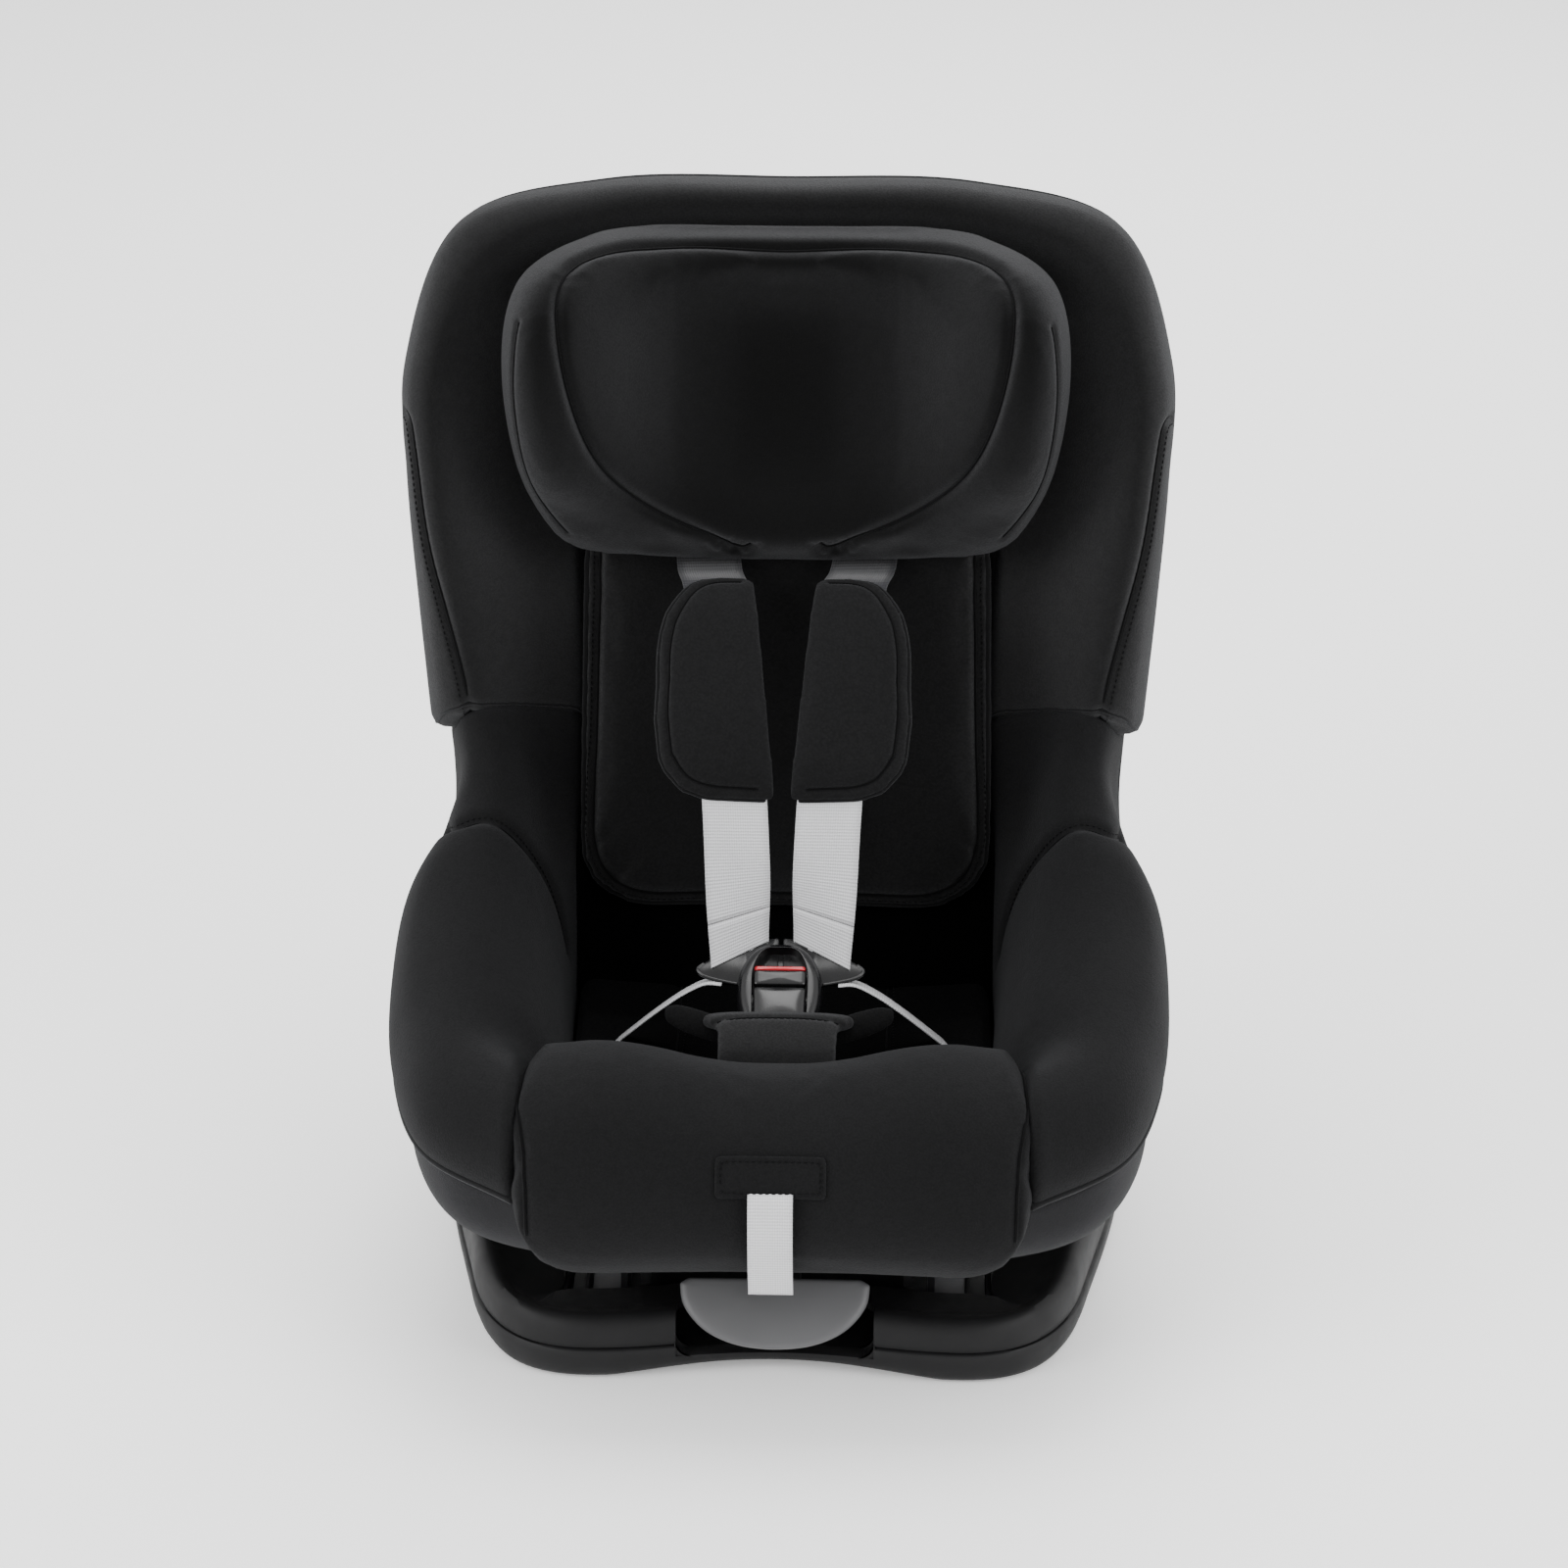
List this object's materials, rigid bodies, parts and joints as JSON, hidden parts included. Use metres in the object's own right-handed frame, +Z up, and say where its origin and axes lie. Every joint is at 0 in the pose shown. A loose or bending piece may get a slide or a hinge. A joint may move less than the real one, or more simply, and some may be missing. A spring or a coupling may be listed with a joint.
{
  "type": "convertible car seat",
  "caption": "Padded child car seat with side bolsters, adjustable headrest and five-point harness, on a low reclining base with a front handle.",
  "frame": {"origin": "on the floor plane, midway between the two sides and under the middle of the base front to back", "axes": "+Z up, the occupant faces -Y, +X on the right of someone looking at the front"},
  "size_m": [0.4508, 0.4849, 0.615],
  "materials": {
    "moulded_plastic": "fine grained, dark grey",
    "shell_plastic": "fine grained, near black",
    "grey_plastic": "satin, mid grey",
    "gloss_plastic": "gloss, near black",
    "red_plastic": "gloss, red",
    "light_webbing": "ribbed woven webbing, light grey",
    "dark_webbing": "ribbed woven webbing, charcoal",
    "foam": "moulded bead foam, off white",
    "cover_fabric": "fine flat knit, near black",
    "side_fabric": "fine knit with a slight sheen, near black",
    "soft_fabric": "soft brushed mesh, black",
    "rubber": "smooth, black",
    "steel": "zinc plated"
  },
  "bodies": {
    "base": {"base_lower": "moulded_plastic", "base_upper": "moulded_plastic", "base_screw_front_left": "steel", "base_screw_front_right": "steel", "base_screw_rear_left": "steel", "base_screw_rear_right": "steel", "foot_strip_left": "rubber", "foot_strip_right": "rubber", "recline_rail_left": "steel", "recline_rail_right": "steel", "lock_rack": "steel", "clamp_pin_left": "steel", "clamp_pin_right": "steel"},
    "carriage": {"carriage_frame": "steel", "glide_pin_front_left": "rubber", "glide_pin_front_right": "rubber", "glide_pin_rear_left": "rubber", "glide_pin_rear_right": "rubber", "tilt_axle": "steel", "latch_striker": "steel"},
    "shell": {"seat_shell": "shell_plastic", "foam_liner": "foam", "hinge_bracket_left": "steel", "hinge_bracket_right": "steel", "rear_cover": "moulded_plastic", "headrest_guide": "moulded_plastic", "backrest_cover": "cover_fabric", "side_cover_left": "side_fabric", "side_cover_right": "side_fabric", "seat_cushion": "soft_fabric", "front_roll": "cover_fabric", "back_pad": "soft_fabric", "buckle_housing": "gloss_plastic", "shoulder_strap_left": "light_webbing", "shoulder_strap_right": "light_webbing", "harness_yoke": "steel", "lap_strap_left": "light_webbing", "lap_strap_right": "light_webbing", "crotch_strap": "dark_webbing", "crotch_pad": "soft_fabric", "adjuster_body": "steel", "adjuster_strap": "light_webbing", "adjuster_flap": "cover_fabric", "latch_pin": "steel"},
    "headrest": {"headrest_shell": "shell_plastic", "headrest_slider": "moulded_plastic", "headrest_pad": "cover_fabric", "shoulder_pad_left": "soft_fabric", "shoulder_pad_right": "soft_fabric"},
    "recline_handle": {"recline_handle": "grey_plastic"},
    "lock_bolt": {"lock_bolt": "steel"},
    "headrest_bolt": {"headrest_bolt": "steel"},
    "headrest_release": {"headrest_release": "grey_plastic"},
    "belt_clamp_left": {"belt_clamp_left": "gloss_plastic"},
    "belt_clamp_right": {"belt_clamp_right": "gloss_plastic"},
    "buckle_button": {"buckle_button": "red_plastic"},
    "tongue_left": {"tongue_left": "gloss_plastic"},
    "tongue_right": {"tongue_right": "gloss_plastic"},
    "adjuster_lever": {"adjuster_lever": "gloss_plastic"},
    "tilt_latch": {"tilt_latch": "steel"}
  },
  "joints": [
    {"name": "recline", "type": "hinge", "parent": "base", "child": "carriage", "pos_m": [0, -0.015, 0.4], "axis": [-1, 0, 0], "range_deg": [0, 8]},
    {"name": "shell_tilt", "type": "hinge", "parent": "carriage", "child": "shell", "pos_m": [0, -0.135, 0.05], "axis": [1, 0, 0], "range_deg": [0, 20]},
    {"name": "headrest_height", "type": "slide", "parent": "shell", "child": "headrest", "axis": [0, 0.2588, 0.9659], "range_m": [-0.06, 0.02], "deforming": ["shoulder_strap_left", "shoulder_strap_right"]},
    {"name": "headrest_release", "type": "slide", "parent": "headrest", "child": "headrest_release", "axis": [0, 0.2588, 0.9659], "range_m": [-0.006, 0]},
    {"name": "headrest_bolt", "type": "slide", "parent": "headrest", "child": "headrest_bolt", "axis": [1, 0, 0], "range_m": [0, 0.005]},
    {"name": "recline_handle", "type": "slide", "parent": "carriage", "child": "recline_handle", "axis": [0, -1, 0], "range_m": [-0.015, 0]},
    {"name": "lock_bolt", "type": "slide", "parent": "carriage", "child": "lock_bolt", "axis": [0, 0, -1], "range_m": [0, 0.0035]},
    {"name": "tilt_latch", "type": "hinge", "parent": "shell", "child": "tilt_latch", "pos_m": [0, 0.06, 0.07], "axis": [1, 0, 0], "range_deg": [-20, 0]},
    {"name": "belt_clamp_left", "type": "hinge", "parent": "base", "child": "belt_clamp_left", "pos_m": [-0.158, 0.096, 0.088], "axis": [1, 0, 0], "range_deg": [0, 45]},
    {"name": "belt_clamp_right", "type": "hinge", "parent": "base", "child": "belt_clamp_right", "pos_m": [0.158, 0.096, 0.088], "axis": [1, 0, 0], "range_deg": [0, 45]},
    {"name": "buckle_button", "type": "slide", "parent": "shell", "child": "buckle_button", "axis": [0, 0.5736, -0.8192], "range_m": [0, 0.0025]},
    {"name": "tongue_left", "type": "slide", "parent": "shell", "child": "tongue_left", "axis": [0, 0.8192, 0.5736], "range_m": [0, 0.012]},
    {"name": "tongue_right", "type": "slide", "parent": "shell", "child": "tongue_right", "axis": [0, 0.8192, 0.5736], "range_m": [0, 0.012]},
    {"name": "adjuster_lever", "type": "hinge", "parent": "shell", "child": "adjuster_lever", "pos_m": [0, -0.203, 0.1455], "axis": [1, 0, 0], "range_deg": [0, 12]}
  ],
  "couplings": [
    {"joint": "lock_bolt", "follows": "recline_handle", "ratio": -0.23333},
    {"joint": "headrest_bolt", "follows": "headrest_release", "ratio": -0.83333}
  ]
}
